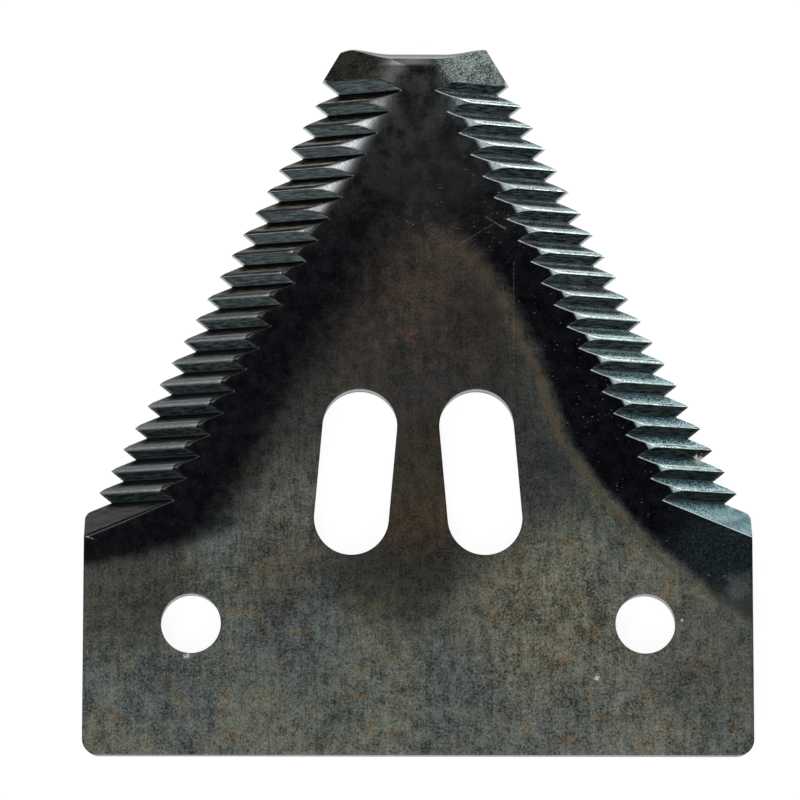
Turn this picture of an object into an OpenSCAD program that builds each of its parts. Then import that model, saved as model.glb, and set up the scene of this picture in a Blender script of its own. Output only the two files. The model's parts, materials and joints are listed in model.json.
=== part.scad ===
// Serrated knife section for a reciprocating mower bar.
// One flat steel plate that tapers to a blunt nose: two rivet holes in the foot,
// two slanted windows in the middle and a bevelled, toothed cutting edge on each side.
// The origin is midway between the rivet holes on the back face, +Y points to the nose
// and the bevels face +Z.

/* [Plate] */
// Width across the two side edges
plate_w = 75.2; // [70:0.1:80]
// Thickness of the steel
plate_t = 3; // [2.4:0.1:3.6]
// From the line of the rivet holes down to the base edge
base_drop = 14.8; // [11:0.1:20]
// From the line of the rivet holes up to the corners of the nose
nose_rise = 66.5; // [64:0.1:72]
// Radius of the two base corners
corner_r = 1.8; // [0.5:0.1:4]

/* [Rivet holes] */
// Distance between the two rivet holes
hole_spacing = 51; // [44:0.1:56]
// Diameter of a rivet hole
hole_d = 6.7; // [5:0.1:8]

/* [Windows] */
// Length of a window, round ends included
window_l = 18.9; // [12:0.1:22]
// Width of a window
window_w = 8.4; // [6:0.1:10]
// Sideways distance of a window's middle from the centre line
window_x = 7.05; // [6.4:0.05:9]
// Distance of a window's middle above the rivet holes
window_y = 17.2; // [13:0.1:22]
// Lean of a window towards the centre line at its nose end, in degrees
window_lean = 5.1; // [0:0.1:8]

/* [Nose] */
// Width across the corners of the nose
nose_w = 16.3; // [14.8:0.1:20]
// Depth of the shallow hollow in the end of the nose
nose_hollow = 0.6; // [0.2:0.1:1.2]
// Width of the floor of that hollow
nose_floor_w = 6.2; // [3:0.1:8]
// Backward lean of the end face of the nose, in degrees
nose_rake = 22; // [5:1:30]
// Length of the eased edge above the end face
nose_ease = 0.6; // [0.2:0.1:1.2]

/* [Cutting edges] */
// Angle of a cutting edge from the centre line, in degrees
edge_angle = 28.5; // [27:0.1:30]
// Thickness left at the cutting edge
edge_t = 0.05; // [0.04:0.01:0.2]
// Width of the bevel, square to the cutting edge
bevel_w = 6.3; // [5.6:0.05:6.8]

/* [Serrations] */
// Number of grooves in each cutting edge
groove_count = 20; // [12:1:20]
// Pitch of the grooves along the cutting edge
groove_pitch = 2.82; // [2.5:0.01:2.9]
// From the nose corner along the cutting edge to the first groove
groove_start = 6.2; // [5:0.1:7]
// Angle between the two flanks of a groove, in degrees
groove_angle = 108; // [100:1:114]
// Lean of a groove towards the nose, in degrees
groove_lean = 8.8; // [6:0.1:12]
// Width of the narrow land between two grooves
land_w = 0.42; // [0.2:0.02:0.7]
// Slope of that land along Y, in degrees
land_angle = 32; // [24:1:36]

/* [Hidden] */
$fn = 96;

// Overshoot of every cutter past the surface it cuts
over = 1;

half_w = plate_w / 2;
nose_half_w = nose_w / 2;
shoulder_y = nose_rise - (half_w - nose_half_w) / tan(edge_angle);

// The bevel drops square to the edge, and so by less along X and along Y
bevel_angle = atan((plate_t - edge_t) / bevel_w);
drop_x = tan(bevel_angle) * cos(edge_angle);
drop_y = tan(bevel_angle) * sin(edge_angle);
edge_len = (nose_rise - shoulder_y) / cos(edge_angle);

// A groove runs parallel to X and keeps its depth below the bevel.
// Its base flank ends in the land, which meets the next groove in a crest on the bevel.
groove_fall = atan(drop_x);
nose_flank = tan(90 - groove_angle / 2 - groove_lean);
base_flank = tan(90 - groove_angle / 2 + groove_lean);
groove_step = groove_pitch * cos(edge_angle);
nose_climb = nose_flank + drop_y;
base_climb = base_flank - drop_y;
land_climb = (tan(land_angle) - drop_y) * land_w;
groove_depth = (groove_step - land_w + land_climb / base_climb) / (1 / nose_climb + 1 / base_climb);
base_flank_w = (groove_depth - land_climb) / base_climb;
groove_run = (plate_t - edge_t + groove_depth) / sin(groove_fall);
last_groove_y = groove_y(groove_count - 1);

ease_angle = 25;

function groove_y(i) = nose_rise - (groove_start + i * groove_pitch) * cos(edge_angle);
function edge_x(y) = nose_half_w + (nose_rise - y) * tan(edge_angle);

module both_sides() {
    children();
    mirror([1, 0, 0]) children();
}

// Half of the outline: base corner, side, shoulder and cutting edge
module half_outline() {
    polygon([
        [0, -base_drop],
        [half_w - corner_r, -base_drop],
        [half_w, corner_r - base_drop],
        [half_w, shoulder_y],
        [nose_half_w, nose_rise],
        [0, nose_rise]
    ]);
    translate([half_w - corner_r, corner_r - base_drop]) circle(r = corner_r);
}

module window() {
    reach = (window_l - window_w) / 2;
    translate([window_x, window_y]) rotate(window_lean) {
        square([window_w, 2 * reach], center = true);
        for (end = [-1, 1]) translate([0, end * reach]) circle(d = window_w);
    }
}

module blank() {
    linear_extrude(plate_t) difference() {
        both_sides() half_outline();
        both_sides() window();
        both_sides() translate([hole_spacing / 2, 0]) circle(d = hole_d);
    }
}

// All that lies above the right-hand bevel, from the nose down to the last groove
module bevel_cut() {
    intersection() {
        translate([nose_half_w, nose_rise, edge_t]) rotate([0, bevel_angle, edge_angle])
            translate([-2 * bevel_w, -edge_len, 0])
                cube([3 * bevel_w, edge_len + bevel_w, 2 * plate_t]);
        translate([0, last_groove_y, 0]) cube([plate_w, nose_rise, 3 * plate_t]);
    }
}

// A point of a groove's section: its upright height is turned square to the groove
function section_point(y, z) = [y, z * cos(groove_fall)];

// Section of a groove. The last groove has no land, and its flank becomes the shoulder.
module groove_section(has_land) {
    top = 2 * plate_t;
    flank_h = base_flank * base_flank_w;
    land_end = base_flank_w + 2 * land_w;
    land_h = flank_h + 2 * land_w * tan(land_angle);
    land_side = [
        section_point(-land_end, top),
        section_point(-land_end, land_h),
        section_point(-base_flank_w, flank_h)
    ];
    shoulder_side = [section_point(-top / base_flank, top)];
    base_side = has_land ? land_side : shoulder_side;
    polygon(concat([[0, 0], section_point(top / nose_flank, top)], base_side));
}

// One groove of the right-hand edge, running out on the flat of the plate
module groove_cut(i) {
    y = groove_y(i);
    translate([edge_x(y), y, edge_t - groove_depth]) rotate([0, groove_fall, 0]) rotate([90, 0, 90])
        translate([0, 0, -groove_run - over]) linear_extrude(groove_run + bevel_w)
            groove_section(i < groove_count - 1);
}

// The hollow end face of the nose leans back, and its upper edge is eased
module nose_cut() {
    floor_y = -nose_hollow * cos(nose_rake);
    top_y = nose_rise - nose_hollow - plate_t * tan(nose_rake);
    translate([0, nose_rise, 0]) rotate([nose_rake, 0, 0])
        translate([0, 0, -over]) linear_extrude(2 * plate_t) polygon([
            [-nose_w, 0],
            [-nose_half_w, 0],
            [-nose_floor_w / 2, floor_y],
            [nose_floor_w / 2, floor_y],
            [nose_half_w, 0],
            [nose_w, 0],
            [nose_w, nose_w],
            [-nose_w, nose_w]
        ]);
    translate([-nose_half_w, top_y - nose_ease, plate_t]) rotate([-ease_angle, 0, 0])
        cube([nose_w, nose_w, plate_t]);
}

module sickle_section() {
    color("dimgray") difference() {
        blank();
        both_sides() bevel_cut();
        both_sides() for (i = [0 : groove_count - 1]) groove_cut(i);
        nose_cut();
    }
}

sickle_section();
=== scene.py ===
import json
import math
import random

import bmesh
import bpy
from mathutils import Matrix, Vector
from mathutils.geometry import delaunay_2d_cdt


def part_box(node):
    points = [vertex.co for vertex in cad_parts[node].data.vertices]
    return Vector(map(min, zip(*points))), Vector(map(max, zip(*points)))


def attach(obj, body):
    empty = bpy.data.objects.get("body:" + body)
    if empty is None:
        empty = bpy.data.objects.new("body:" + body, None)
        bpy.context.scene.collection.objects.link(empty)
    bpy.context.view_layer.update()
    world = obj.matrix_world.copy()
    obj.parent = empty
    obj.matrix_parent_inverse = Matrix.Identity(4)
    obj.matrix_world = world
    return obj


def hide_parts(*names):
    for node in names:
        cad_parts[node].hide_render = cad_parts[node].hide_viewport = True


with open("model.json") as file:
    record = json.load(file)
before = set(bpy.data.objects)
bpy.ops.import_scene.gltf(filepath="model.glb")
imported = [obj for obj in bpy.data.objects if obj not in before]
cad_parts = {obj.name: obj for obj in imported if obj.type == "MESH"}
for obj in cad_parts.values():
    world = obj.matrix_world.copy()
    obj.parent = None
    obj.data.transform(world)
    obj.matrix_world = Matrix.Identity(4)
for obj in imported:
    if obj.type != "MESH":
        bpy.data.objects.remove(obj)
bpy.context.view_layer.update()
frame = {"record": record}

# Sizes are in millimetres, and become metres where vertices are made
MM = 0.001
NODE = "sickle_section"
SLOT = "blade_steel"
node_lo, node_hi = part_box(NODE)
rivets = next(m for m in frame["record"]["mounts"] if m["name"] == "rivet_holes")

# The plate, read from the frame
HALF_W = node_hi.x / MM
PLATE_T = node_hi.z / MM
BASE_Y = node_lo.y / MM
NOSE_Y = node_hi.y / MM
HOLE_X = rivets["dims"]["spacing_x_mm"] / 2
HOLE_R = rivets["dims"]["hole_r_mm"]

# The rest of the outline, as in the solid
CORNER_R = 1.8
WINDOW_L, WINDOW_W = 18.9, 8.4
WINDOW_X, WINDOW_Y = 7.05, 17.2
WINDOW_LEAN = math.radians(5.1)
NOSE_HALF_W = 8.15
NOSE_HOLLOW = 0.6
NOSE_FLOOR = 3.1
NOSE_RAKE = math.tan(math.radians(22))
NOSE_EASE = 0.6
EASE_SLOPE = math.tan(math.radians(25))

# Cutting edges and their serrations
EDGE_ANGLE = math.radians(28.5)
EDGE_T = 0.05
BEVEL_W = 6.3
GROOVE_COUNT = 20
GROOVE_PITCH = 2.82
GROOVE_START = 6.2
GROOVE_ANGLE, GROOVE_LEAN = 108, 8.8
LAND_W, LAND_ANGLE = 0.42, 32

# Differences between single grooves in place and in depth, and how many grooves can meet at one height
ROOT_PLAY = 0.04
DEPTH_PLAY = (-0.04, 0.03)
NEAR_GROOVES = 4

# Slopes of the bevel, the flanks and the land, and the step, depth and ends of the row of grooves
TAN_EDGE = math.tan(EDGE_ANGLE)
COS_EDGE = math.cos(EDGE_ANGLE)
DROP_X = (PLATE_T - EDGE_T) / BEVEL_W * COS_EDGE
DROP_Y = DROP_X * TAN_EDGE
GROOVE_STEP = GROOVE_PITCH * COS_EDGE
NOSE_CLIMB = math.tan(math.radians(90 - GROOVE_ANGLE / 2 - GROOVE_LEAN)) + DROP_Y
BASE_CLIMB = math.tan(math.radians(90 - GROOVE_ANGLE / 2 + GROOVE_LEAN)) - DROP_Y
LAND_CLIMB = math.tan(math.radians(LAND_ANGLE)) - DROP_Y
LAND_FALL = LAND_CLIMB * LAND_W
GROOVE_DEPTH = (GROOVE_STEP - LAND_W + LAND_FALL / BASE_CLIMB) / (1 / NOSE_CLIMB + 1 / BASE_CLIMB)
FIRST_ROOT = NOSE_Y - GROOVE_START * COS_EDGE
LAST_ROOT = FIRST_ROOT - (GROOVE_COUNT - 1) * GROOVE_STEP

# Softened edges: the groove rims, the heights over which the bevel's inner line softens, the rolled rim
# of the blanked outline, the thin cutting edge and the break-out of the walls
SOFT_RIM = 0.05
SOFT_RANGE = (40.0, 52.0)
ROLL_W, ROLL_DROP = 0.26, 0.15
ROLL_STEPS = (1.0, 0.7, 0.42, 0.2, 0.06, 0.0)
ROLL_ARC = 0.98
THIN_EDGE = 0.03
BREAKOUT = 0.10
WALL_RINGS = (1.0, 0.97, 0.6, 0.0)
SHARP_ANGLE = math.radians(38)

# Extent of the serrated strips: lowest row, start of the nose, reach inwards from the edge line
STRIP_LOW_Y = 9.0
STRIP_NOSE_Y = FIRST_ROOT + GROOVE_DEPTH / NOSE_CLIMB + 0.7
STRIP_REACH = 10.8

# The nose: height at which its own softness is full, width of the worn corners, rounds to find its end
SOFT_NOSE_Y = STRIP_NOSE_Y + 0.6
CORNER_WEAR_W = 1.6
END_ROUNDS = 12

# Rows of a strip on the shoulder, on the two flanks of a groove and on the nose
SHOULDER_ROWS, NOSE_FLANK_ROWS, BASE_FLANK_ROWS, NOSE_ROWS = 26, 8, 9, 26

# Points along the blanked outline, the holes and the windows
SIDE_POINTS, CORNER_POINTS, BASE_POINTS = 24, 10, 70
HOLE_POINTS = 73
WINDOW_END_POINTS, WINDOW_SIDE_POINTS = 33, 11

# Digits by which vertices are told apart, and the distance at which points of a face merge
VERTEX_DIGITS = 4
MERGE_DISTANCE = 1e-7

# What a vertex belongs to where it is in no strip, and the width of the thin outline that gets a painted
# highlight
FLAT_ZONE = (-1.0, 0.0, 0.0, 0.0, 0.0, 0.0)
WALL_ZONE = (-1.0, 0.0, 1.0, 0.0, 0.0, 0.0)
OUTLINE_W = 0.5


def spread(low, high, count):
    return [low + (high - low) * i / (count - 1) for i in range(count)]


# Distances of the strip's columns inside the edge line, close together where the grooves run out
COLUMNS = spread(0.55, 5.4, 15) + spread(5.5, 9.8, 36) + [10.1, 10.4, STRIP_REACH]


def edge_x(y):
    """Sideways place of the cutting edge line at height y."""
    return NOSE_HALF_W + (NOSE_Y - y) * TAN_EDGE


def soft_ramp(value, radius):
    """max(value, 0) with its corner rounded over plus and minus radius."""
    if value <= -radius:
        return 0.0
    if value >= radius:
        return value
    return (value + radius) ** 2 / (4 * radius)


def smooth_step(low, high, value):
    t = min(max((value - low) / (high - low), 0.0), 1.0)
    return t * t * (3 - 2 * t)


def nose_hollow(x):
    """Depth of the hollow in the nose's end at sideways place x."""
    return NOSE_HOLLOW * (1 - smooth_step(NOSE_FLOOR, NOSE_HALF_W, abs(x)))


class Edge:
    """One serrated cutting edge, with the small differences between the two sides.

    softness rounds the bevel's inner line, at the shoulder, at the first tooth and on the nose;
    nose_play moves the nose's bevel outwards, at its lower and upper end; corner_wear rounds the
    corner of the nose.
    """

    def __init__(self, sign, seed, softness, nose_play, corner_wear):
        draw = random.Random(seed)
        self.sign = sign
        self.softness, self.nose_play, self.corner_wear = softness, nose_play, corner_wear
        self.roots = [FIRST_ROOT - i * GROOVE_STEP for i in range(GROOVE_COUNT)]
        self.depths = [GROOVE_DEPTH for _ in range(GROOVE_COUNT)]
        for i in range(1, GROOVE_COUNT - 1):
            self.roots[i] += draw.uniform(-ROOT_PLAY, ROOT_PLAY)
            self.depths[i] += draw.uniform(*DEPTH_PLAY)

    def cut(self, y):
        """Depth of the grooves below the bevel at height y, negative where there is none, and the flank.

        The flank is 1 on the nose side of a groove, -1 on its base side and 0 on the land.
        """
        first = int((FIRST_ROOT - y) / GROOVE_STEP) - 1
        deepest, flank = -PLATE_T, 0.0
        for i in range(max(first, 0), min(first + NEAR_GROOVES, GROOVE_COUNT)):
            rise = y - self.roots[i]
            depth = self.depths[i] - (NOSE_CLIMB * rise if rise > 0 else -BASE_CLIMB * rise)
            side = 1.0 if rise > 0 else -1.0
            if rise < 0 and depth < LAND_FALL and i < GROOVE_COUNT - 1:
                depth = LAND_FALL - (LAND_FALL - depth) / BASE_CLIMB * LAND_CLIMB
                side = 0.0
            if depth > deepest:
                flank = side
            deepest += soft_ramp(depth - deepest, SOFT_RIM)
        return deepest, flank

    def play(self, y):
        """How far the nose's bevel lies outside the line of the teeth at height y."""
        if y < FIRST_ROOT:
            return 0.0
        low, high = self.nose_play
        return low + (high - low) * (y - FIRST_ROOT) / (NOSE_Y - FIRST_ROOT)

    def soft(self, y):
        """Rounding of the bevel's inner line at height y."""
        low, high, nose = self.softness
        teeth = low + (high - low) * smooth_step(*SOFT_RANGE, y)
        return teeth + (nose - teeth) * smooth_step(FIRST_ROOT, SOFT_NOSE_Y, y)

    def outer(self, y, cut):
        """Distance of the outline inside the edge line at height y."""
        silhouette = (THIN_EDGE - EDGE_T + cut) / DROP_X
        return max(-self.play(y), silhouette, edge_x(y) - HALF_W)

    def corner_drop(self, inset):
        """How much the worn corner of the nose is rounded off at a distance inside the outline."""
        return self.corner_wear * max(0.0, 1 - inset / CORNER_WEAR_W) ** 2

    def surface(self, q, y, cut):
        """Height of the face at distance q inside the edge line, its depth in a groove, share of bevel."""
        bevel = EDGE_T + DROP_X * q
        drop = PLATE_T - bevel - DROP_X * self.play(y)
        soft = self.soft(y)
        land = PLATE_T - soft_ramp(drop, soft) if y >= LAST_ROOT else PLATE_T
        groove = bevel - cut
        height = land - soft_ramp(land - groove, SOFT_RIM)
        ease_y = NOSE_Y - NOSE_HOLLOW - PLATE_T * NOSE_RAKE - NOSE_EASE
        eased = PLATE_T - EASE_SLOPE * (y - ease_y)
        height -= soft_ramp(height - eased, SOFT_RIM)
        slope = smooth_step(-soft, soft, drop) if y >= LAST_ROOT else 0.0
        return height, max(land - groove, -1.0), slope

    def rows(self):
        """Heights of the strip's rows, from the shoulder up to the start of the nose."""
        heights = spread(STRIP_LOW_Y, self.roots[-1], SHOULDER_ROWS)
        for i in range(GROOVE_COUNT - 1, -1, -1):
            lift = DROP_X * self.nose_play[0] if i == 0 else 0.0
            crest = self.roots[i] + (self.depths[i] + lift) / NOSE_CLIMB
            heights += spread(self.roots[i], crest - SOFT_RIM, NOSE_FLANK_ROWS)[1:]
            heights += [crest, crest + SOFT_RIM]
            if i == 0:
                break
            kink = self.roots[i - 1] - (self.depths[i - 1] - LAND_FALL) / BASE_CLIMB
            heights.append((crest + SOFT_RIM + kink) / 2)
            heights += spread(kink, self.roots[i - 1], BASE_FLANK_ROWS)
        return heights


class Shell:
    """Gathers vertices, faces and zones. A zone is (groove, bevel, wall, depth, flank, outline)."""

    def __init__(self):
        self.index = {}
        self.points = []
        self.zones = []
        self.faces = []
        self.back_from = 0

    def vertex(self, x, y, z, zone=FLAT_ZONE):
        key = tuple(round(c, VERTEX_DIGITS) for c in (x, y, z))
        if key not in self.index:
            self.index[key] = len(self.points)
            self.points.append((x, y, z))
            self.zones.append(zone)
        return self.index[key]

    def grid(self, rows, closed=False):
        """Quads between neighbouring rows of vertex numbers."""
        pairs = list(zip(rows, rows[1:])) + ([(rows[-1], rows[0])] if closed else [])
        for a, b in pairs:
            for k in range(len(a) - 1):
                corners = list(dict.fromkeys((a[k], a[k + 1], b[k + 1], b[k])))
                if len(corners) > 2:
                    self.faces.append(corners)


def column_places(outer, y):
    """Distances inside the edge line of one row's columns, from the outline inwards."""
    reach = min(STRIP_REACH, edge_x(y))
    start = outer + ROLL_W
    scale = (reach - start) / (STRIP_REACH - ROLL_W)
    return [outer + ROLL_W * step for step in reversed(ROLL_STEPS)] + [
        start + (c - ROLL_W) * scale for c in COLUMNS]


def roll(depth_in, height):
    """Drop of the rolled rim at a distance inside the outline, less where the edge is thin."""
    t = 1 - depth_in / ROLL_W
    if t <= 0:
        return 0.0
    return ROLL_DROP * min(1.0, height / PLATE_T) * (1 - math.sqrt(1 - ROLL_ARC * t * t))


def nose_height(edge, column, share):
    """Height of a nose row at one column: the last row follows the hollow, raked end."""
    end = NOSE_Y
    for _ in range(END_ROUNDS):
        outer = edge.outer(end, -PLATE_T)
        q = column_places(outer, end)[column]
        z = edge.surface(q, end, -PLATE_T)[0]
        end = NOSE_Y - nose_hollow(edge_x(end) - q) - z * NOSE_RAKE - edge.corner_drop(q - outer)
    return STRIP_NOSE_Y + share * (end - STRIP_NOSE_Y)


def wall_below(top, share):
    """Height and inward break-out of a ring of the wall under a rim of the given height."""
    inset = BREAKOUT * top / PLATE_T * (1 - share) if share < WALL_RINGS[1] else 0.0
    return top * share, inset


def strip_row(shell, edge, y, nose_share=None):
    """One row of a serrated strip: (vertices from the outline inwards, wall from top to bottom)."""
    in_nose = nose_share is not None
    cut, flank = (-PLATE_T, 0.0) if in_nose else edge.cut(y)
    outer = edge.outer(y, cut)
    depth = max(0.0, cut / GROOVE_DEPTH)
    row = []
    for k, q in enumerate(column_places(outer, y)):
        here = nose_height(edge, k, nose_share) if in_nose else y
        if in_nose:
            outer = edge.outer(here, cut)
            q = column_places(outer, here)[k]
        z, groove, bevel = edge.surface(q, here, cut)
        if k == 0:
            rim_height = z
        outline = 1 - smooth_step(0.0, OUTLINE_W, q - outer)
        zone = (groove, bevel, 0.0, depth, flank, outline)
        row.append((edge_x(here) - q, here, z - roll(q - outer, rim_height), zone))
    x, here, top, zone = row[0]
    wall = []
    for share in WALL_RINGS[1:]:
        z, inset = wall_below(top, share)
        wall.append((x - inset, here, z, (zone[0], zone[1], 1.0, depth, flank, 1.0)))
    numbers = [shell.vertex(edge.sign * p[0], *p[1:]) for p in row]
    return numbers, [numbers[0]] + [shell.vertex(edge.sign * p[0], *p[1:]) for p in wall]


def nose_end(shell, top_row, corner_wall):
    """The raked end face under the last row of a strip. Returns its bottom vertices."""
    columns = [corner_wall]
    for number in top_row[1:]:
        x, y, z = shell.points[number]
        low_y = y + z * NOSE_RAKE
        column = [number]
        for share in WALL_RINGS[1:]:
            column.append(shell.vertex(x, low_y + (y - low_y) * share, z * share, WALL_ZONE))
        columns.append(column)
    shell.grid(columns)
    return [column[-1] for column in columns]


def build_strip(shell, edge):
    """A serrated edge with its thin outer wall. Returns the rows that the rest of the plate joins."""
    made = [strip_row(shell, edge, y) for y in edge.rows()]
    made += [strip_row(shell, edge, STRIP_NOSE_Y, share) for share in spread(0.0, 1.0, NOSE_ROWS)]
    rows, walls = [m[0] for m in made], [m[1] for m in made]
    shell.grid(rows)
    shell.grid(walls)
    return rows, walls, nose_end(shell, rows[-1], walls[-1])


def sweep_rim(shell, path, closed):
    """Rolled rim and wall along a path of (point, direction into the steel)."""
    top = PLATE_T - roll(0.0, PLATE_T)
    profiles = []
    for (x, y), (inx, iny) in path:
        profile = []
        for step in ROLL_STEPS:
            inset = ROLL_W * step
            profile.append(shell.vertex(x + inx * inset, y + iny * inset, PLATE_T - roll(inset, PLATE_T)))
        for share in WALL_RINGS[1:]:
            z, inset = wall_below(top, share)
            profile.append(shell.vertex(x + inx * inset, y + iny * inset, z, WALL_ZONE))
        profiles.append(profile)
    shell.grid(profiles, closed)
    return profiles


def arc(cx, cy, radius, start, end, count, inward):
    """Points on an arc with the direction into the steel; inward is -1 where the steel is inside."""
    path = []
    for angle in spread(start, end, count):
        nx, ny = math.cos(angle), math.sin(angle)
        path.append(((cx + radius * nx, cy + radius * ny), (inward * nx, inward * ny)))
    return path


def base_path():
    """The blanked outline from the right shoulder, down the side, along the base and up again."""
    side_x, corner_y = HALF_W - CORNER_R, BASE_Y + CORNER_R
    right = [((HALF_W, y), (-1.0, 0.0)) for y in spread(STRIP_LOW_Y, corner_y, SIDE_POINTS)[:-1]]
    right += arc(side_x, corner_y, CORNER_R, 0.0, -math.pi / 2, CORNER_POINTS, -1)
    base = [((x, BASE_Y), (0.0, 1.0)) for x in spread(side_x, -side_x, BASE_POINTS)[1:-1]]
    left = [((-x, y), (-nx, ny)) for (x, y), (nx, ny) in reversed(right)]
    return right + base + left


def hole_path(sign):
    return arc(sign * HOLE_X, 0.0, HOLE_R, 0.0, 2 * math.pi, HOLE_POINTS, 1)[:-1]


def window_path(sign):
    """Outline of a window, two half circles joined by straight sides and leaned to the middle."""
    radius, reach = WINDOW_W / 2, (WINDOW_L - WINDOW_W) / 2
    side = spread(reach, -reach, WINDOW_SIDE_POINTS)[1:-1]
    upright = arc(0.0, reach, radius, 0.0, math.pi, WINDOW_END_POINTS, 1)
    upright += [((-radius, y), (-1.0, 0.0)) for y in side]
    upright += arc(0.0, -reach, radius, math.pi, 2 * math.pi, WINDOW_END_POINTS, 1)
    upright += [((radius, y), (1.0, 0.0)) for y in reversed(side)]
    cos, sin = math.cos(sign * WINDOW_LEAN), math.sin(sign * WINDOW_LEAN)
    path = []
    for (x, y), (nx, ny) in upright:
        place = (sign * WINDOW_X + x * cos - y * sin, WINDOW_Y + x * sin + y * cos)
        path.append((place, (nx * cos - ny * sin, nx * sin + ny * cos)))
    return path


def inside(loop, x, y):
    """True where the point lies inside the closed loop of (x, y) points."""
    hit = False
    for (ax, ay), (bx, by) in zip(loop, loop[1:] + loop[:1]):
        if (ay > y) != (by > y) and x < ax + (y - ay) / (by - ay) * (bx - ax):
            hit = not hit
    return hit


def fill_face(shell, outline, openings):
    """Fills a flat face between its outline and its openings with triangles."""
    loops = [outline] + openings
    numbers = [n for loop in loops for n in loop]
    place = {n: i for i, n in enumerate(numbers)}
    flat = [Vector(shell.points[n][:2]) for n in numbers]
    edges = [(place[a], place[b]) for loop in loops for a, b in zip(loop, loop[1:] + loop[:1])]
    spots, _, triangles, origins = delaunay_2d_cdt(flat, edges, [], 0, MERGE_DISTANCE)[:4]
    shapes = [[tuple(shell.points[n][:2]) for n in loop] for loop in loops]
    for triangle in triangles:
        middle = sum((spots[i] for i in triangle), Vector((0.0, 0.0))) / 3
        if inside(shapes[0], *middle) and not any(inside(s, *middle) for s in shapes[1:]):
            shell.faces.append([numbers[origins[i][0]] for i in triangle])


def without_spur(loop):
    """Drops the stretch where the two strips meet on the centre line and the loop runs back on itself."""
    doubled = [n for n in dict.fromkeys(loop) if loop.count(n) > 1]
    spur = set(doubled[1:])
    return list(dict.fromkeys(n for n in loop if n not in spur))


def build_shell():
    shell = Shell()
    right_edge = Edge(1, seed=11, softness=(0.55, 0.85, 0.3), nose_play=(-0.10, -0.40), corner_wear=0.05)
    left_edge = Edge(-1, seed=23, softness=(0.32, 1.1, 1.0), nose_play=(0.75, 0.50), corner_wear=0.45)
    right, right_walls, right_end = build_strip(shell, right_edge)
    left, left_walls, left_end = build_strip(shell, left_edge)
    base = sweep_rim(shell, base_path(), closed=False)
    paths = (hole_path(1), hole_path(-1), window_path(1), window_path(-1))
    openings = [sweep_rim(shell, path, closed=True) for path in paths]

    rim = len(ROLL_STEPS)
    top = [profile[0] for profile in base]
    top += left[0][rim:] + [row[-1] for row in left[1:]]
    top += [row[-1] for row in reversed(right)] + right[0][-2:rim - 1:-1]
    fill_face(shell, without_spur(top), [[p[0] for p in opening] for opening in openings])

    shell.back_from = len(shell.faces)
    back = [profile[-1] for profile in base] + [wall[-1] for wall in left_walls]
    back += left_end + right_end[::-1] + [wall[-1] for wall in reversed(right_walls)]
    fill_face(shell, list(dict.fromkeys(back)), [[p[-1] for p in opening] for opening in openings])
    return shell


def add_zones(mesh, shell):
    """Writes the zones on the corners of the faces; the back is flat throughout."""
    zones = []
    for polygon in mesh.polygons:
        for number in polygon.vertices:
            zones.append(FLAT_ZONE if polygon.index >= shell.back_from else shell.zones[number])
    for name, part in (("zones", slice(0, 3)), ("groove_shape", slice(3, 6))):
        layer = mesh.attributes.new(name, "FLOAT_VECTOR", "CORNER")
        layer.data.foreach_set("vector", [c for zone in zones for c in zone[part]])


def build_plate():
    shell = build_shell()
    mesh = bpy.data.meshes.new("sickle_blade")
    mesh.from_pydata([[c * MM for c in p] for p in shell.points], [], shell.faces)
    work = bmesh.new()
    work.from_mesh(mesh)
    bmesh.ops.recalc_face_normals(work, faces=work.faces)
    work.to_mesh(mesh)
    work.free()
    add_zones(mesh, shell)
    mesh.shade_smooth()
    mesh.set_sharp_from_angle(angle=SHARP_ANGLE)
    plate = bpy.data.objects.new("sickle_blade", mesh)
    bpy.context.scene.collection.objects.link(plate)
    return plate


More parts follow.
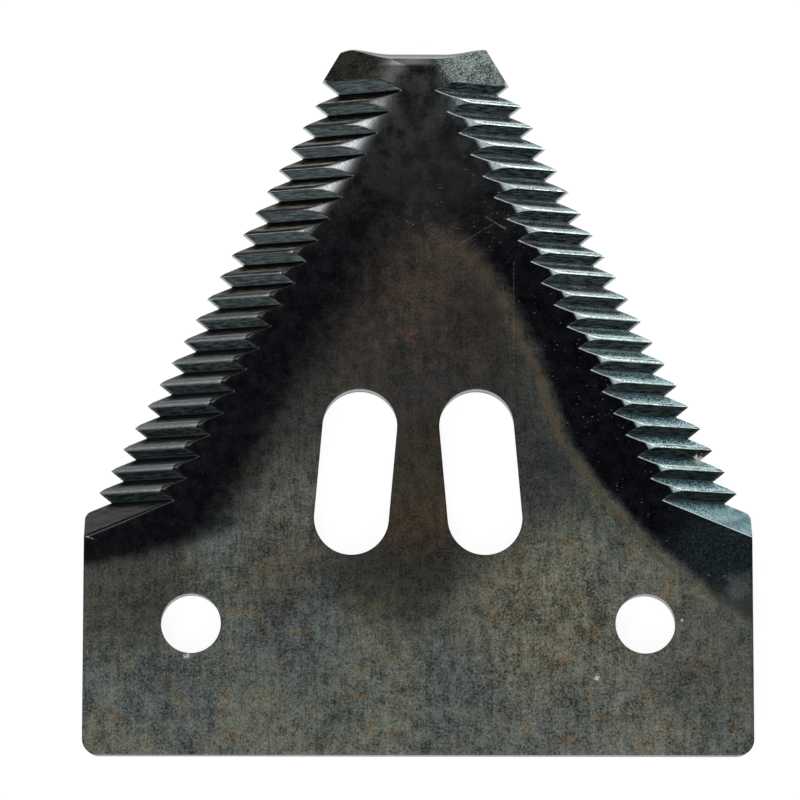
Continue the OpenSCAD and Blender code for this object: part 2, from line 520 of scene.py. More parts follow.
class Graph:
    """Adds shader nodes to a node tree; values that are sockets are linked, others are set."""

    def __init__(self, tree):
        self.tree = tree

    def put(self, socket, value):
        if isinstance(value, bpy.types.NodeSocket):
            self.tree.links.new(value, socket)
        elif socket.type == "RGBA" and len(value) == 3:
            socket.default_value = (*value, 1.0)
        else:
            socket.default_value = value

    def add(self, kind, inputs, **settings):
        node = self.tree.nodes.new(kind)
        for name, value in settings.items():
            setattr(node, name, value)
        for name, value in inputs.items():
            self.put(node.inputs[name], value)
        return node

    def math(self, operation, *values):
        node = self.add("ShaderNodeMath", dict(enumerate(values)), operation=operation)
        return node.outputs[0]

    def times(self, first, second):
        return self.math("MULTIPLY", first, second)

    def outside(self, mask):
        return self.math("SUBTRACT", 1.0, mask)

    def swing(self, value, gain):
        """A value around 0.5, turned into a change around 0."""
        return self.math("MULTIPLY_ADD", value, gain, -gain / 2)

    def total(self, first, *others):
        for other in others:
            first = self.math("ADD", first, other)
        return first

    def vector(self, operation, inputs, output=0):
        return self.add("ShaderNodeVectorMath", inputs, operation=operation).outputs[output]

    def scaled(self, vector, factors):
        return self.vector("MULTIPLY", {0: vector, 1: factors})

    def split(self, vector):
        return self.add("ShaderNodeSeparateXYZ", {0: vector}).outputs

    def attribute(self, name):
        return self.add("ShaderNodeAttribute", {}, attribute_name=name).outputs["Vector"]

    def noise(self, vector, scale, detail=3.0, roughness=0.55):
        inputs = {"Vector": vector, "Scale": scale, "Detail": detail, "Roughness": roughness}
        return self.add("ShaderNodeTexNoise", inputs).outputs[0]

    def step(self, value, low, high, bottom=0.0, top=1.0):
        inputs = {"Value": value, "From Min": low, "From Max": high, "To Min": bottom, "To Max": top}
        return self.add("ShaderNodeMapRange", inputs, interpolation_type="SMOOTHSTEP").outputs[0]

    def mix(self, share, first, second):
        node = self.add("ShaderNodeMix", {}, data_type="RGBA")
        self.put(node.inputs[0], share)
        self.put(node.inputs[6], first)
        self.put(node.inputs[7], second)
        return node.outputs[2]

    def blend(self, share, first, second):
        node = self.add("ShaderNodeMix", {}, data_type="FLOAT")
        self.put(node.inputs[0], share)
        self.put(node.inputs[2], first)
        self.put(node.inputs[3], second)
        return node.outputs[0]


# The hardened band along the cutting edges: its width, the rounding where both sides meet, its shift at
# either edge, and how its inner line bends above and below a level
BAND_W = 15.0
BAND_ROUND = 29.0
RIGHT_SHIFT, LEFT_SHIFT = 1.0, 0.7
RIGHT_BEND_Y, RIGHT_RISE, RIGHT_RISE_MAX, RIGHT_SAG = 21.0, 0.16, 17.0, 0.018
LEFT_RISE_Y, LEFT_RISE = 36.0, 0.1
LEFT_SAG_Y, LEFT_SAG = 12.0, 0.4
BAND_CLOUD, BAND_MOTTLE = 1.2, 0.6

# Height above the back at which the sheared walls turn from broken to smooth, and half the line's width
SHEAR_Z, SHEAR_HALF = 1.3, 0.15

# Level of the dull steel's reflection
SHEEN = 0.25

# Heights between which the lands of the nose and its eased edge begin
NOSE_LAND_Y = (58.3, 58.9)
EASE_Y = (63.9, 64.3)

# Share of each noise in the light and dark of the flat, its mean level and its darkest level
FLAT_GAINS = (("grain", 2.2), ("speck", 1.8), ("mottle", 2.2), ("brush", 0.7), ("wash", 1.2), ("cloud", -1.2))
FLAT_LEVEL, FLAT_DARKEST = 1.09, 0.2

# Stains of the flat: place, radius, share and colour; then how they spread and how their edges wander
STAINS = (
    ((0.0, 17.0), 17.0, 0.9, (0.022, 0.022, 0.018)),
    ((0.0, 35.0), 15.0, 0.95, (0.028, 0.023, 0.018)),
    ((0.6, 41.0), 6.0, 0.9, (0.060, 0.046, 0.033)),
    ((0.5, 29.0), 4.5, 0.7, (0.022, 0.022, 0.022)),
    ((-32.6, 5.0), 9.0, 0.85, (0.034, 0.036, 0.030)),
    ((-14.3, -1.9), 7.0, 0.6, (0.066, 0.082, 0.085)),
    ((-16.0, 5.0), 5.0, 0.5, (0.055, 0.042, 0.028)),
    ((-3.0, 6.1), 7.0, 0.7, (0.020, 0.018, 0.013)),
    ((0.3, 12.0), 4.5, 0.85, (0.042, 0.026, 0.012)),
    ((0.3, 19.0), 5.0, 0.8, (0.026, 0.021, 0.013)),
    ((13.8, 17.0), 5.0, 0.7, (0.032, 0.036, 0.037)),
    ((-14.5, 14.0), 5.0, 0.7, (0.098, 0.102, 0.090)),
    ((20.0, -9.5), 12.0, 0.5, (0.128, 0.134, 0.112)),
    ((14.0, 0.5), 9.0, 0.7, (0.145, 0.138, 0.096)),
    ((33.5, -3.0), 8.0, 0.6, (0.060, 0.063, 0.054)),
)
STAIN_SPREAD, STAIN_WANDER = 1.35, 4.5

# Bare spots: place, radius and colour
SPOTS = (
    ((31.8, 18.95), 0.75, (0.62, 0.60, 0.53)),
    ((20.0, -6.1), 0.34, (0.60, 0.60, 0.56)),
    ((29.6, 0.4), 0.2, (0.50, 0.50, 0.47)),
    ((-25.9, -3.75), 0.4, (0.55, 0.55, 0.52)),
)

# Hairline scratches: two ends and brightness; then the distances at which a scratch ends and is full
SCRATCHES = (
    ((-2.5, 46.5), (-0.5, 45.5), 0.10),
    ((7.6, 46.5), (9.9, 45.0), 0.16),
    ((12.7, 46.5), (14.4, 45.0), 0.12),
    ((10.8, 41.2), (10.8, 28.3), 0.06),
    ((9.6, 38.5), (10.6, 28.0), 0.05),
    ((5.0, 43.5), (8.5, 45.6), 0.07),
    ((12.0, 8.0), (15.2, 9.4), 0.16),
    ((13.2, 1.3), (15.6, 1.9), 0.2),
    ((-28.0, -4.9), (-23.6, -5.1), 0.14),
    ((-37.3, 10.7), (-36.8, 10.3), 0.4),
    ((-37.3, 9.8), (-36.5, 9.5), 0.4),
    ((-3.2, -10.7), (-1.8, -10.9), 0.1),
)
SCRATCH_HALF = (0.09, 0.03)
SCRATCH_GAIN = 2.5

# Marked places on the face, with their radii
RUSTY_PLACE = ((-0.5, 36.5), 12.0)
DOTTED_PLACE = ((16.0, 3.0), 11.0)
SMOKE_PLACE = ((2.0, 51.0), 6.0)
TEAL_PLACE = ((34.5, 7.0), 9.0)
GREY_PLACE = ((36.5, 0.0), 6.5)
SCUFF_PLACE = ((36.0, 4.1), 2.2)
HAIR_PLACE = ((8.0, 47.0), 9.0)

# Colours of the flat and of its tempered fringe; a tint multiplies the colour below it
MILL_GREY = ((0.106, 0.112, 0.088), (0.085, 0.102, 0.098))
RUST_TINT = (1.22, 0.82, 0.52)
ARCH_RUST = (0.062, 0.030, 0.017)
PALE_DOT = (0.34, 0.33, 0.26)
BLUE_TINT = (0.48, 0.50, 0.54)
BRONZE = (0.092, 0.063, 0.033)
SCRATCH = (0.33, 0.35, 0.35)

# Colours of the hardened band; a pair runs from dark to light
BLACK = ((0.0012, 0.0012, 0.0028), (0.0040, 0.0042, 0.0065))
BLACK_SPECK = (0.0075, 0.0078, 0.0095)
# Painted sheen: the band's lighter colour towards the nose, varied with a noise
SHEEN_BLACK = ((0.009, 0.010, 0.011), (0.048, 0.049, 0.050))
BROWN_SMOKE = (0.030, 0.026, 0.022)
SMUDGE = (0.050, 0.052, 0.052)
CORNER_TEAL = ((0.007, 0.012, 0.015), (0.026, 0.038, 0.043))
CORNER_GREY = (0.046, 0.050, 0.045)
SCUFF = (0.14, 0.16, 0.16)
HAIR = (0.16, 0.17, 0.17)
CHIP = (0.20, 0.22, 0.23)

# Colours of the grooves' nose flanks and base flanks; a pair runs from dark to light
SLATE = ((0.19, 0.225, 0.23), (0.42, 0.46, 0.46))
# Painted shade: nose flanks darker on the right, lower down, and most at the lower left
SLATE_SHADE_RIGHT = (0.05, 0.08, 0.08)
SLATE_SHADE_LOW = (0.06, 0.085, 0.095)
SLATE_SHADE_LOW_LEFT = (0.034, 0.050, 0.058)
SLATE_LINE = (0.020, 0.024, 0.027)
OLIVE = ((0.022, 0.020, 0.017), (0.17, 0.185, 0.165))
# Painted shade: base flanks darker at the lower left
OLIVE_SHADE_LOW = (0.030, 0.037, 0.038)
LEFT_SHOULDER = ((0.020, 0.021, 0.020), (0.075, 0.08, 0.075))
GREY = ((0.024, 0.029, 0.029), (0.24, 0.27, 0.27))
# Painted light: the right base flanks lighter towards the land
GREY_SHALLOW_LIT = (0.40, 0.47, 0.47)
# Painted reflection: light cyan base flanks at the lower right and teal on the right shoulder
CYAN_REFLECTION = ((0.020, 0.066, 0.084), (0.52, 0.76, 0.81))
RIGHT_SHOULDER_REFLECTION = ((0.07, 0.14, 0.16), (0.29, 0.44, 0.47))
# Painted shade in the groove roots
ROOT_SHADE = (0.008, 0.009, 0.010)
CHATTER_PALE = (0.60, 0.66, 0.66)
CHATTER_STEP = 0.27

# Colours of the lands, the worn bevel and the nose; a pair is left and right where it is not noted, and there
# the difference is painted light and shade
# Painted highlight: the right lands near white, the left ones dull grey
LAND_HIGHLIT_RIGHT = ((0.22, 0.22, 0.21), (0.72, 0.85, 0.86))
LAND_DULL = (0.10, 0.11, 0.11)
RUBBED_FROM_FLAT = ((0.025, 0.027, 0.030), (0.60, 0.62, 0.63))
# Painted highlight on the worn bevel of the right side
RUBBED_HIGHLIGHT_RIGHT = (0.66, 0.79, 0.81)
RUBBED_SPECK = (0.05, 0.052, 0.055)
# Painted light: the right nose pits and lands far lighter than the left ones
NOSE_PITS = ((0.012, 0.012, 0.010), (0.055, 0.066, 0.060))
NOSE_LANDS = ((0.065, 0.068, 0.055), (0.46, 0.53, 0.50))
# Painted highlight on the left eased edge, painted shade on the right one
EASED_HIGHLIGHT_AND_SHADE = ((0.30, 0.31, 0.31), (0.024, 0.026, 0.026))
# Painted highlight along the thin outline of the teeth and the right groove rims
HIGHLIGHT_LINE = (0.78, 0.82, 0.82)

# Colours of the sheared walls, from dark to light
SMOOTH_WALL = ((0.25, 0.27, 0.27), (0.36, 0.38, 0.38))
BROKEN_WALL = ((0.10, 0.105, 0.10), (0.24, 0.25, 0.245))


def above(g, y, level):
    """Distance above a level."""
    return g.math("MAXIMUM", g.math("SUBTRACT", y, level), 0.0)


def below(g, y, level):
    """Square of the distance below a level."""
    return g.math("POWER", g.math("MAXIMUM", g.math("SUBTRACT", level, y), 0.0), 2.0)


def hardened_depth(g, x, y):
    """Distance from the cutting edges, bent so that the hardened band ends at BAND_W."""
    run = g.math("MULTIPLY_ADD", y, -TAN_EDGE, NOSE_HALF_W + NOSE_Y * TAN_EDGE)
    right = g.math("MULTIPLY_ADD", g.math("SUBTRACT", run, x), COS_EDGE, RIGHT_SHIFT)
    rise = g.math("MINIMUM", above(g, y, RIGHT_BEND_Y), RIGHT_RISE_MAX)
    right = g.math("MULTIPLY_ADD", rise, RIGHT_RISE, right)
    right = g.math("MULTIPLY_ADD", below(g, y, RIGHT_BEND_Y), RIGHT_SAG, right)
    left = g.math("MULTIPLY_ADD", g.math("ADD", run, x), COS_EDGE, LEFT_SHIFT)
    left = g.math("MULTIPLY_ADD", above(g, y, LEFT_RISE_Y), LEFT_RISE, left)
    left = g.math("MULTIPLY_ADD", below(g, y, LEFT_SAG_Y), LEFT_SAG, left)
    return g.math("SMOOTH_MIN", right, left, BAND_ROUND)


def near(g, t, place, noise=None, wander=0.0):
    """Soft mask around a place with its radius, with an edge that wanders with a noise."""
    centre, radius = place
    away = g.vector("DISTANCE", {0: t.plan, 1: (*centre, 0.0)}, "Value")
    if noise:
        away = g.total(away, g.swing(noise, 2 * wander))
    return g.step(away, radius, radius * 0.35)


def bump(g, value, centre, half):
    """Soft mask where a value is close to a centre."""
    away = g.math("ABSOLUTE", g.math("SUBTRACT", value, centre))
    return g.step(away, half, 0.0)


def dots(g, place, scale, size, share):
    """Sparse small dots."""
    cells = g.add("ShaderNodeTexVoronoi", {"Vector": place, "Scale": scale})
    chosen = g.add("ShaderNodeSeparateColor", {0: cells.outputs["Color"]}).outputs[0]
    chosen = g.math("LESS_THAN", chosen, share)
    return g.times(g.step(cells.outputs["Distance"], size, size * 0.4), chosen)


def slanted(g, t, turn, stretch):
    """Place on the face, turned and shortened along one way, for long marks."""
    inputs = {"Vector": t.plan, "Rotation": (0.0, 0.0, turn), "Scale": (stretch, 1.0, 1.0)}
    return g.add("ShaderNodeMapping", inputs).outputs[0]


def scratch(g, t, start, end):
    """Mask of one straight hairline."""
    run = Vector((*end, PLATE_T)) - Vector((*start, PLATE_T))
    offset = g.vector("SUBTRACT", {0: t.place, 1: (*start, PLATE_T)})
    along = g.vector("DOT_PRODUCT", {0: offset, 1: run / run.length_squared}, "Value")
    along = g.math("MINIMUM", g.math("MAXIMUM", along, 0.0), 1.0)
    nearest = g.vector("SCALE", {0: tuple(run), "Scale": along})
    away = g.vector("DISTANCE", {0: offset, 1: nearest}, "Value")
    return g.step(away, *SCRATCH_HALF)


class Tones:
    """Places, zones, noises and masks that the material's layers share."""

    def __init__(self, g):
        self.read_place(g)
        self.read_zones(g)
        self.add_noises(g)
        self.add_masks(g)

    def read_place(self, g):
        self.place = g.scaled(g.add("ShaderNodeTexCoord", {}).outputs["Object"], (1 / MM,) * 3)
        self.plan = g.scaled(self.place, (1.0, 1.0, 0.0))
        self.x, self.y, self.z = g.split(self.place)

    def read_zones(self, g):
        self.cut, self.bevel, self.wall = g.split(g.attribute("zones"))
        self.depth, self.flank, self.outline = g.split(g.attribute("groove_shape"))

    def add_noises(self, g):
        self.cloud = g.noise(self.place, 0.16, 2.0)
        self.rust = g.noise(self.place, 0.42, 3.0, 0.7)
        self.mottle = g.noise(self.place, 0.75, 3.0, 0.65)
        self.grain = g.noise(self.place, 3.6, 1.0, 0.6)
        self.speck = g.noise(self.place, 7.5, 0.0)
        self.brush = g.noise(g.scaled(self.place, (5.0, 0.25, 1.0)), 1.0, 1.0)
        self.wash = g.noise(g.scaled(self.place, (1.3, 0.16, 1.0)), 1.0, 2.0)
        self.streak = g.noise(g.scaled(self.place, (0.35, 7.0, 2.0)), 1.0, 2.0, 0.7)

    def add_masks(self, g):
        self.right = g.step(self.x, -3.0, 5.0)
        self.low_left = g.times(g.outside(self.right), g.step(self.y, 46.0, 26.0))
        self.low_right = g.times(self.right, g.step(self.y, 40.0, 24.0))
        self.groove = g.step(self.cut, -0.01, g.blend(self.low_left, 0.03, 0.30))
        # Rims of the base flanks, which get a painted highlight
        self.rim = g.times(bump(g, self.cut, 0.07, 0.11), g.step(self.flank, -0.1, -0.6))
        plain = g.outside(self.groove)
        self.bare_wall = g.times(self.wall, plain)
        self.nose_land = g.times(g.times(self.bevel, g.step(self.y, *NOSE_LAND_Y)), plain)
        # Worn bevel between the flat and the lands: wear on the left, and on the right a painted highlight on
        # the fans at the inner ends of the lands
        left = g.times(g.step(self.bevel, 0.0, 0.3), g.step(self.y, 42.0, 52.0))
        left = g.math("MAXIMUM", left, g.step(self.bevel, 0.5, 0.8))
        wear_and_highlight = g.blend(self.right, left, g.step(self.bevel, 0.25, 0.5))
        self.wear_and_highlight = g.times(wear_and_highlight, g.times(plain, g.step(self.y, 61.0, 59.0)))


def flat_colour(g, t):
    """The mill-finished flat: greenish grey with stains, rust and a fine grain."""
    colour = g.mix(g.step(t.cloud, 0.40, 0.66), *MILL_GREY)
    for place, radius, share, stain in STAINS:
        cover = near(g, t, (place, radius * STAIN_SPREAD), t.rust, STAIN_WANDER)
        colour = g.mix(g.times(cover, share), colour, stain)
    colour = g.mix(g.step(t.rust, 0.53, 0.68, 0.0, 0.7), colour, g.scaled(colour, RUST_TINT))
    rusty = g.times(g.step(t.mottle, 0.50, 0.68, 0.0, 0.7), near(g, t, RUSTY_PLACE))
    colour = g.mix(rusty, colour, ARCH_RUST)
    light = g.total(*(g.swing(getattr(t, name), gain) for name, gain in FLAT_GAINS))
    contrast = g.blend(g.step(t.y, 8.0, 28.0), 1.0, 0.9)
    light = g.math("MULTIPLY_ADD", light, contrast, FLAT_LEVEL)
    light = g.math("MAXIMUM", light, FLAT_DARKEST)
    return g.vector("SCALE", {0: colour, "Scale": light})


def tempered_colour(g, t, reach):
    """The flat with its pale dots, and a blue tint and a bronze line beside the hardened band."""
    flat = flat_colour(g, t)
    pale = g.times(dots(g, t.place, 2.2, 0.22, 0.45), near(g, t, DOTTED_PLACE))
    flat = g.mix(pale, flat, PALE_DOT)
    tinted = g.times(t.right, g.step(t.y, 4.0, 15.0))
    blue = g.times(bump(g, reach, BAND_W + 2.8, 3.6), g.times(tinted, 0.85))
    flat = g.mix(blue, flat, g.scaled(flat, BLUE_TINT))
    lit = g.times(g.step(t.y, 2.0, 7.0, 0.0, 0.75), g.step(t.y, 45.0, 32.0, 0.2, 1.0))
    lit = g.times(g.times(lit, t.right), g.step(t.mottle, 0.25, 0.6, 0.3, 1.0))
    return g.mix(g.times(bump(g, reach, BAND_W + 0.7, 0.75), lit), flat, BRONZE)


def band_share(g, t, reach):
    """Mask of the hardened band, with a soft inner line on the left and a crisp one on the right."""
    soft = g.step(reach, BAND_W + 5.5, BAND_W - 2.8)
    foot = g.step(t.y, 20.0, 7.0)
    start = g.blend(foot, BAND_W + 0.9, BAND_W + 1.2)
    full = g.blend(foot, BAND_W - 0.9, BAND_W - 1.8)
    return g.blend(t.right, soft, g.step(reach, start, full))


def band_colour(g, t):
    """Blue-black of the hardened band: lighter towards the nose as a painted sheen, with a smoky stain there,
    teal and grey in the right corner.
    """
    black = g.mix(g.step(t.mottle, 0.35, 0.75), *BLACK)
    black = g.mix(g.step(t.speck, 0.45, 0.75, 0.0, 0.8), black, BLACK_SPECK)
    # Painted sheen: the band grows lighter towards the nose
    wear_and_highlight = g.mix(g.step(t.rust, 0.36, 0.64), *SHEEN_BLACK)
    black = g.mix(g.step(t.y, 40.0, 62.0, 0.0, 0.9), black, wear_and_highlight)
    black = g.mix(g.times(near(g, t, SMOKE_PLACE, t.rust, 3.0), 0.4), black, BROWN_SMOKE)
    smudge = g.times(g.step(t.grain, 0.38, 0.68), g.step(t.mottle, 0.40, 0.66))
    smudge = g.times(smudge, g.step(t.y, 36.0, 56.0, 0.05, 0.3))
    black = g.mix(smudge, black, SMUDGE)
    teal = g.mix(g.step(t.grain, 0.35, 0.68), *CORNER_TEAL)
    black = g.mix(g.times(near(g, t, TEAL_PLACE), 0.8), black, teal)
    return g.mix(g.times(near(g, t, GREY_PLACE, t.rust, 3.0), 0.9), black, CORNER_GREY)


def marked_band(g, t, black):
    """Adds the scuff, the hairs and the chips where bare steel shows in the hardened band."""
    scuff = g.times(g.step(t.speck, 0.42, 0.70, 0.2, 0.7), near(g, t, SCUFF_PLACE, t.mottle, 2.0))
    black = g.mix(scuff, black, SCUFF)
    hairs = g.math("MAXIMUM", dots(g, slanted(g, t, 0.55, 0.16), 1.5, 0.13, 0.6),
                   dots(g, slanted(g, t, 1.25, 0.16), 1.5, 0.13, 0.4))
    hairs = g.times(hairs, g.times(near(g, t, HAIR_PLACE), g.step(t.grain, 0.3, 0.6, 0.1, 0.8)))
    black = g.mix(hairs, black, HAIR)
    chips = g.times(dots(g, slanted(g, t, 0.6, 0.55), 2.6, 0.22, 0.8), g.step(t.rust, 0.48, 0.60))
    chips = g.times(chips, g.step(t.grain, 0.35, 0.65, 0.1, 1.0))
    chips = g.times(chips, g.blend(t.right, 0.15, 0.8))
    return g.mix(chips, black, CHIP)


def scratched(g, t, colour):
    """Adds the hairline scratches."""
    for start, end, strength in SCRATCHES:
        wear_and_highlight = g.step(t.grain, 0.35, 0.6, 0.0, strength * SCRATCH_GAIN)
        colour = g.mix(g.times(scratch(g, t, start, end), wear_and_highlight), colour, SCRATCH)
    return colour


def slate_colour(g, t):
    """Nose flanks of the grooves: slate with dark grinding lines, darker on the right and below as painted
    shade.
    """
    slate = g.mix(g.step(t.streak, 0.35, 0.65), *SLATE)
    # Painted shade: darker on the right, lower down and at the lower left
    slate = g.mix(g.times(t.right, 0.45), slate, SLATE_SHADE_RIGHT)
    slate = g.mix(g.step(t.y, 36.0, 16.0, 0.0, 0.6), slate, SLATE_SHADE_LOW)
    slate = g.mix(g.times(t.low_left, 0.65), slate, SLATE_SHADE_LOW_LEFT)
    lined = g.math("MAXIMUM", t.low_left, g.times(t.right, 0.8))
    lines = g.times(g.step(t.streak, 0.52, 0.42, 0.0, 0.85), lined)
    return g.mix(lines, slate, SLATE_LINE)


def base_flank_colour(g, t):
    """Base flanks and shoulders: olive scale on the left, grey flecks on the right, and a painted cyan
    reflection below and on the right shoulder; darker towards the root and at the lower left as painted
    shade, lighter towards the land as painted light.
    """
    shoulder = g.step(t.y, LAST_ROOT, LAST_ROOT - 0.8)
    # Painted shade: olive darker where the groove is deeper and at the lower left
    olive = g.mix(g.step(g.total(t.streak, g.swing(t.depth, -0.5)), 0.40, 0.75), *OLIVE)
    olive = g.mix(g.times(t.low_left, 0.5), olive, OLIVE_SHADE_LOW)
    olive = g.mix(shoulder, olive, g.mix(g.step(t.streak, 0.4, 0.7), *LEFT_SHOULDER))
    fleck = g.math("MULTIPLY_ADD", t.grain, 0.5, g.times(t.speck, 0.5))
    # Painted shade: flecks darker where the groove is deeper
    fleck = g.total(fleck, g.swing(t.depth, -0.12))
    grey = g.mix(g.step(fleck, 0.46, 0.62), *GREY)
    # Painted light: lighter towards the land, where the groove is shallow
    grey = g.mix(g.step(t.depth, 0.46, 0.20, 0.0, 0.85), grey, GREY_SHALLOW_LIT)
    # Painted reflection: cyan flanks at the lower right and a teal gradient on the right shoulder
    cyan_reflection = g.mix(g.step(fleck, 0.42, 0.62), *CYAN_REFLECTION)
    teal = g.mix(g.step(t.mottle, 0.35, 0.65), *RIGHT_SHOULDER_REFLECTION)
    cyan_reflection = g.mix(g.times(shoulder, g.step(t.x, 30.0, 36.5, 0.2, 0.9)), cyan_reflection, teal)
    return g.mix(t.low_right, g.mix(t.right, olive, grey), cyan_reflection)


def chatter(g, t):
    """A dotted line along the roots of the upper right grooves."""
    root = g.times(g.step(t.depth, 0.70, 0.80), g.step(t.flank, -0.2, -0.8))
    wave = g.math("SINE", g.times(t.x, 2 * math.pi / CHATTER_STEP))
    mask = g.times(root, g.step(wave, -0.2, 0.9))
    mask = g.times(mask, g.step(t.mottle, 0.35, 0.6, 0.3, 1.0))
    return g.times(mask, g.times(t.right, g.step(t.y, 24.0, 32.0)))


def facet_colour(g, t):
    """Ground steel of the grooves: lands with a painted highlight on the right, slate nose flanks, scaled
    base flanks, and roots darkened as painted shade.
    """
    # Painted highlight: the right lands far lighter than the left ones
    land = g.mix(t.right, *LAND_HIGHLIT_RIGHT)
    land = g.mix(g.step(t.grain, 0.45, 0.25, 0.0, 0.6), land, LAND_DULL)
    colour = g.mix(g.step(t.flank, 0.1, 0.6), land, slate_colour(g, t))
    colour = g.mix(g.step(t.flank, -0.3, -0.8), colour, base_flank_colour(g, t))
    # Painted shade in the roots, broken by the grinding streaks
    root = g.times(g.step(t.depth, 0.90, 0.97), g.step(t.streak, 0.35, 0.6, 0.5, 0.95))
    colour = g.mix(root, colour, ROOT_SHADE)
    return g.mix(chatter(g, t), colour, CHATTER_PALE)


def nose_colour(g, t, colour):
    """Adds the rubbed bevel, light on the right as a painted highlight, the pitted lands of the nose, lighter
    on the right as painted light, and the eased edge above its end, with a painted highlight on the left and
    painted shade on the right.
    """
    rubbed = g.mix(g.step(t.bevel, 0.04, 0.62), *RUBBED_FROM_FLAT)
    # Painted highlight: the worn bevel light cyan on the right
    rubbed = g.mix(t.right, rubbed, RUBBED_HIGHLIGHT_RIGHT)
    rubbed = g.mix(g.step(t.speck, 0.5, 0.3, 0.0, 0.6), rubbed, RUBBED_SPECK)
    colour = g.mix(t.wear_and_highlight, colour, rubbed)
    pits = g.step(g.total(t.speck, g.swing(t.mottle, 0.8)), 0.3, 0.75)
    # Painted light: lands and pits of the nose lighter on the right than on the left
    rough_land = g.mix(pits, g.mix(t.right, *NOSE_PITS), g.mix(t.right, *NOSE_LANDS))
    colour = g.mix(t.nose_land, colour, rough_land)
    # Painted highlight on the left of the eased edge, painted shade on the right
    ease = g.times(g.step(t.y, *EASE_Y), g.outside(t.nose_land))
    return g.mix(ease, colour, g.mix(t.right, *EASED_HIGHLIGHT_AND_SHADE))


def sheared_colour(g, t):
    """Walls of the blank: a smooth upper part with upright lines, and a rough, darker break below."""
    upright = g.noise(g.scaled(t.place, (6.0, 6.0, 0.5)), 1.0, 1.0)
    smooth = g.mix(g.step(upright, 0.35, 0.65), *SMOOTH_WALL)
    broken = g.mix(g.step(t.grain, 0.35, 0.65), *BROKEN_WALL)
    line = g.total(t.z, g.swing(t.mottle, 1.0))
    return g.mix(g.step(line, SHEAR_Z - SHEAR_HALF, SHEAR_Z + SHEAR_HALF), broken, smooth)


def highlight_lines(g, t):
    """Mask of the painted highlight along the thin outline of the teeth and the rims of the right-hand
    grooves.
    """
    pale = g.times(g.step(t.flank, 0.2, 0.8), g.step(t.outline, 0.1, 0.6))
    pale = g.times(pale, g.step(t.y, 20.0, 45.0, 0.15, 0.8))
    return g.math("MAXIMUM", pale, g.times(t.rim, g.blend(t.right, 0.0, 0.9)))


def metal_share(g, t, band, pale):
    """Metallic on the ground facets and the worn bevel with its painted highlight, mostly not on the oxide of
    the flat and the band.
    """
    metal = g.blend(band, 0.15, 0.1)
    metal = g.blend(t.wear_and_highlight, metal, g.blend(t.right, 1.0, 0.3))
    metal = g.blend(t.nose_land, metal, 0.8)
    dull = g.times(t.low_left, g.step(t.flank, -0.2, -0.8))
    metal = g.blend(g.math("MAXIMUM", t.groove, t.bare_wall), metal, g.blend(dull, 1.0, 0.7))
    return g.blend(pale, metal, 0.2)


def roughness(g, t, band, pale):
    """Dull flat, glossy band, and ground facets that are coarser at the lower right."""
    dull = g.step(t.mottle, 0.3, 0.7, 0.45, 0.6)
    rough = g.blend(band, dull, g.step(t.mottle, 0.3, 0.7, 0.18, 0.25))
    rough = g.blend(t.wear_and_highlight, rough, 0.45)
    rough = g.blend(t.nose_land, rough, 0.45)
    coarse = g.times(t.low_right, g.step(t.flank, -0.2, -0.7))
    rough = g.blend(t.groove, rough, g.blend(coarse, g.step(t.streak, 0.3, 0.7, 0.14, 0.26), 0.38))
    return g.blend(g.math("MAXIMUM", t.bare_wall, pale), rough, 0.45)


def relief(g, t):
    """Fine grain of the flat and the bevel, and grinding lines in the grooves."""
    height = g.times(t.grain, g.blend(t.bevel, 0.010, 0.030))
    height = g.blend(t.groove, height, g.times(t.streak, 0.014))
    return g.add("ShaderNodeBump", {"Strength": 1.0, "Distance": MM, "Height": height}).outputs[0]


def blade_material():
    material = bpy.data.materials.new(SLOT)
    material.use_nodes = True
    g = Graph(material.node_tree)
    t = Tones(g)

    reach = g.total(hardened_depth(g, t.x, t.y), g.swing(t.cloud, BAND_CLOUD), g.swing(t.mottle, BAND_MOTTLE))
    band = band_share(g, t, reach)
    colour = g.mix(band, tempered_colour(g, t, reach), marked_band(g, t, band_colour(g, t)))
    colour = nose_colour(g, t, scratched(g, t, colour))
    colour = g.mix(t.groove, colour, facet_colour(g, t))
    colour = g.mix(t.bare_wall, colour, sheared_colour(g, t))
    # Painted highlight lines; the mask also takes the bare spots, for metal and roughness
    pale = highlight_lines(g, t)
    colour = g.mix(pale, colour, HIGHLIGHT_LINE)
    for place, radius, tint in SPOTS:
        spot = near(g, t, (place, radius), t.grain, 1.2 * radius)
        colour = g.mix(spot, colour, tint)
        pale = g.math("MAXIMUM", pale, spot)

    shader = material.node_tree.nodes["Principled BSDF"]
    shader.inputs["Specular IOR Level"].default_value = SHEEN
    g.put(shader.inputs["Base Color"], colour)
    g.put(shader.inputs["Metallic"], metal_share(g, t, band, pale))
    g.put(shader.inputs["Roughness"], roughness(g, t, band, pale))
    g.put(shader.inputs["Normal"], relief(g, t))
    return material


# Camera: angles, place before it is turned, focal length and picture width in pixels, sensor, clipping
CAM_PITCH, CAM_SWAY, CAM_ROLL = map(math.radians, (-8.97, 0.31, -0.086))
CAM_SHIFT = Vector((-2.027, 25.52, 619.8)) * MM
FOCAL_PX, FRAME_PX, SENSOR_W = 5500, 800, 36
CAM_CLIP = (0.01, 10)

# Floor, in metres: half its width, its height, its grey, and its glow where it is seen
FLOOR_HALF, FLOOR_Z = 1.5, -0.0002
FLOOR_GREY = (0.14, 0.14, 0.14, 1)
FLOOR_ROUGH = 0.9
FLOOR_GLOW = 0.92

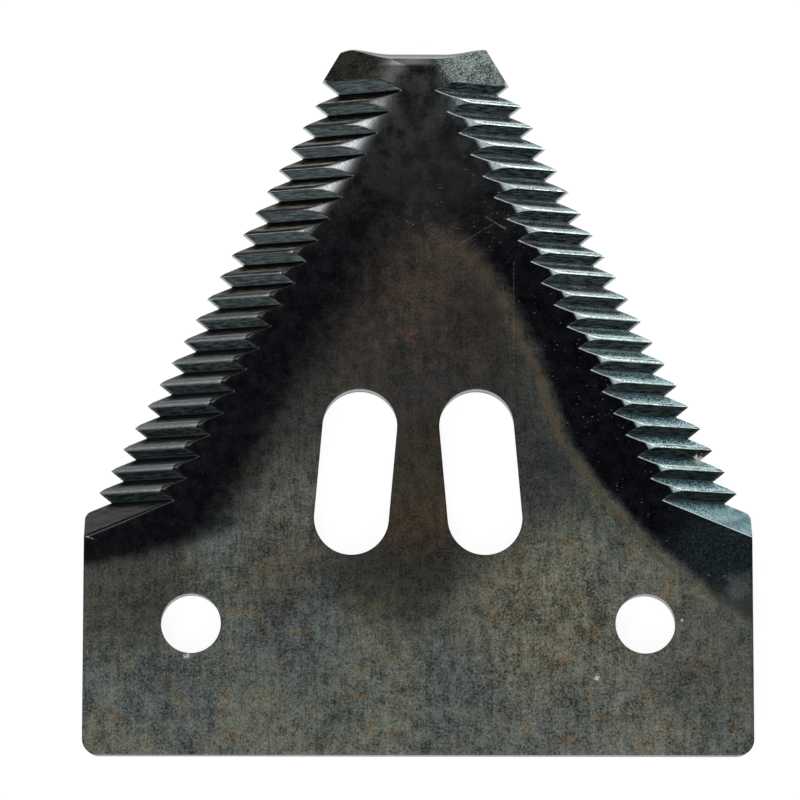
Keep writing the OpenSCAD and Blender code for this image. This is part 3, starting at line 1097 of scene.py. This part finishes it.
# Lamps: name, place, size, power and colour; all of them aim at the middle of the plate
WHITE, COOL_WHITE = (1.0, 1.0, 1.0), (0.94, 1.0, 1.0)
LAMPS = (
    ("front", Vector((0.0, -0.50, 0.62)), (0.85, 0.85), 4.6, WHITE),
    ("key", Vector((0.28, 0.64, 0.26)), (0.36, 0.20), 0.85, COOL_WHITE),
    ("side", Vector((0.50, 0.38, 0.42)), (0.26, 0.26), 0.28, COOL_WHITE),
    ("spot", Vector((-0.175, 0.205, 0.39)), (0.2, 0.2), 0.55, WHITE),
)
LAMP_AIM = Vector((0, 0.025, 0))

# Studio around the plate: in front on its left and right, behind the nose, and above
STUDIO_FRONT = ((0.115, 0.138, 0.145), (0.075, 0.095, 0.098))
STUDIO_BACK = (0.05, 0.05, 0.05)
STUDIO_TOP = (0.02, 0.021, 0.023)


def add_camera():
    data = bpy.data.cameras.new("camera")
    data.lens = FOCAL_PX / FRAME_PX * SENSOR_W
    data.clip_start, data.clip_end = CAM_CLIP
    camera = bpy.data.objects.new("camera", data)
    bpy.context.scene.collection.objects.link(camera)
    turn = (Matrix.Rotation(-CAM_PITCH, 4, "X") @ Matrix.Rotation(-CAM_SWAY, 4, "Y")
            @ Matrix.Rotation(-CAM_ROLL, 4, "Z"))
    camera.matrix_world = turn @ Matrix.Translation(CAM_SHIFT)
    bpy.context.scene.camera = camera


def white_when_seen(tree, dull, strength):
    """Adds white light to a shader for rays that look at it, and leaves its shadows."""
    g = Graph(tree)
    path = g.add("ShaderNodeLightPath", {}).outputs
    seen = g.math("MAXIMUM", path["Is Camera Ray"], path["Is Glossy Ray"])
    seen = g.math("MAXIMUM", seen, path["Is Transmission Ray"])
    glow = g.add("ShaderNodeEmission", {"Color": WHITE, "Strength": g.times(seen, strength)})
    both = g.add("ShaderNodeAddShader", {0: dull, 1: glow.outputs[0]})
    tree.links.new(both.outputs[0], tree.nodes["Material Output"].inputs["Surface"])


def add_floor():
    signs = ((-1, -1), (1, -1), (1, 1), (-1, 1))
    corners = [(sx * FLOOR_HALF, sy * FLOOR_HALF, FLOOR_Z) for sx, sy in signs]
    mesh = bpy.data.meshes.new("floor")
    mesh.from_pydata(corners, [], [(0, 1, 2, 3)])
    floor = bpy.data.objects.new("floor", mesh)
    bpy.context.scene.collection.objects.link(floor)
    paint = bpy.data.materials.new("floor_white")
    paint.use_nodes = True
    shader = paint.node_tree.nodes["Principled BSDF"]
    shader.inputs["Base Color"].default_value = FLOOR_GREY
    shader.inputs["Roughness"].default_value = FLOOR_ROUGH
    white_when_seen(paint.node_tree, shader.outputs[0], FLOOR_GLOW)
    mesh.materials.append(paint)


def add_lamp(name, place, size, power, colour):
    data = bpy.data.lights.new(name, "AREA")
    data.shape, data.energy, data.color = "ELLIPSE", power, colour
    data.size, data.size_y = size
    lamp = bpy.data.objects.new(name, data)
    lamp.location = place
    lamp.rotation_mode = "QUATERNION"
    lamp.rotation_quaternion = (LAMP_AIM - lamp.location).to_track_quat("-Z", "Y")
    bpy.context.scene.collection.objects.link(lamp)


def add_world():
    """A dim studio, darker above and behind the nose."""
    world = bpy.data.worlds.new("studio")
    world.use_nodes = True
    g = Graph(world.node_tree)
    way = g.add("ShaderNodeTexCoord", {}).outputs["Generated"]
    x, y, z = g.split(way)
    front = g.mix(g.step(x, -0.3, 0.3), *STUDIO_FRONT)
    low = g.mix(g.step(y, -0.6, 0.3), front, STUDIO_BACK)
    tone = g.mix(g.step(z, 0.55, 0.9), low, STUDIO_TOP)
    g.put(world.node_tree.nodes["Background"].inputs["Color"], tone)
    bpy.context.scene.world = world


plate = build_plate()
plate.data.materials.append(blade_material())
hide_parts(NODE)
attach(plate, "root")

add_camera()
add_floor()
for lamp in LAMPS:
    add_lamp(*lamp)
add_world()
bpy.context.scene.view_settings.view_transform = "Standard"
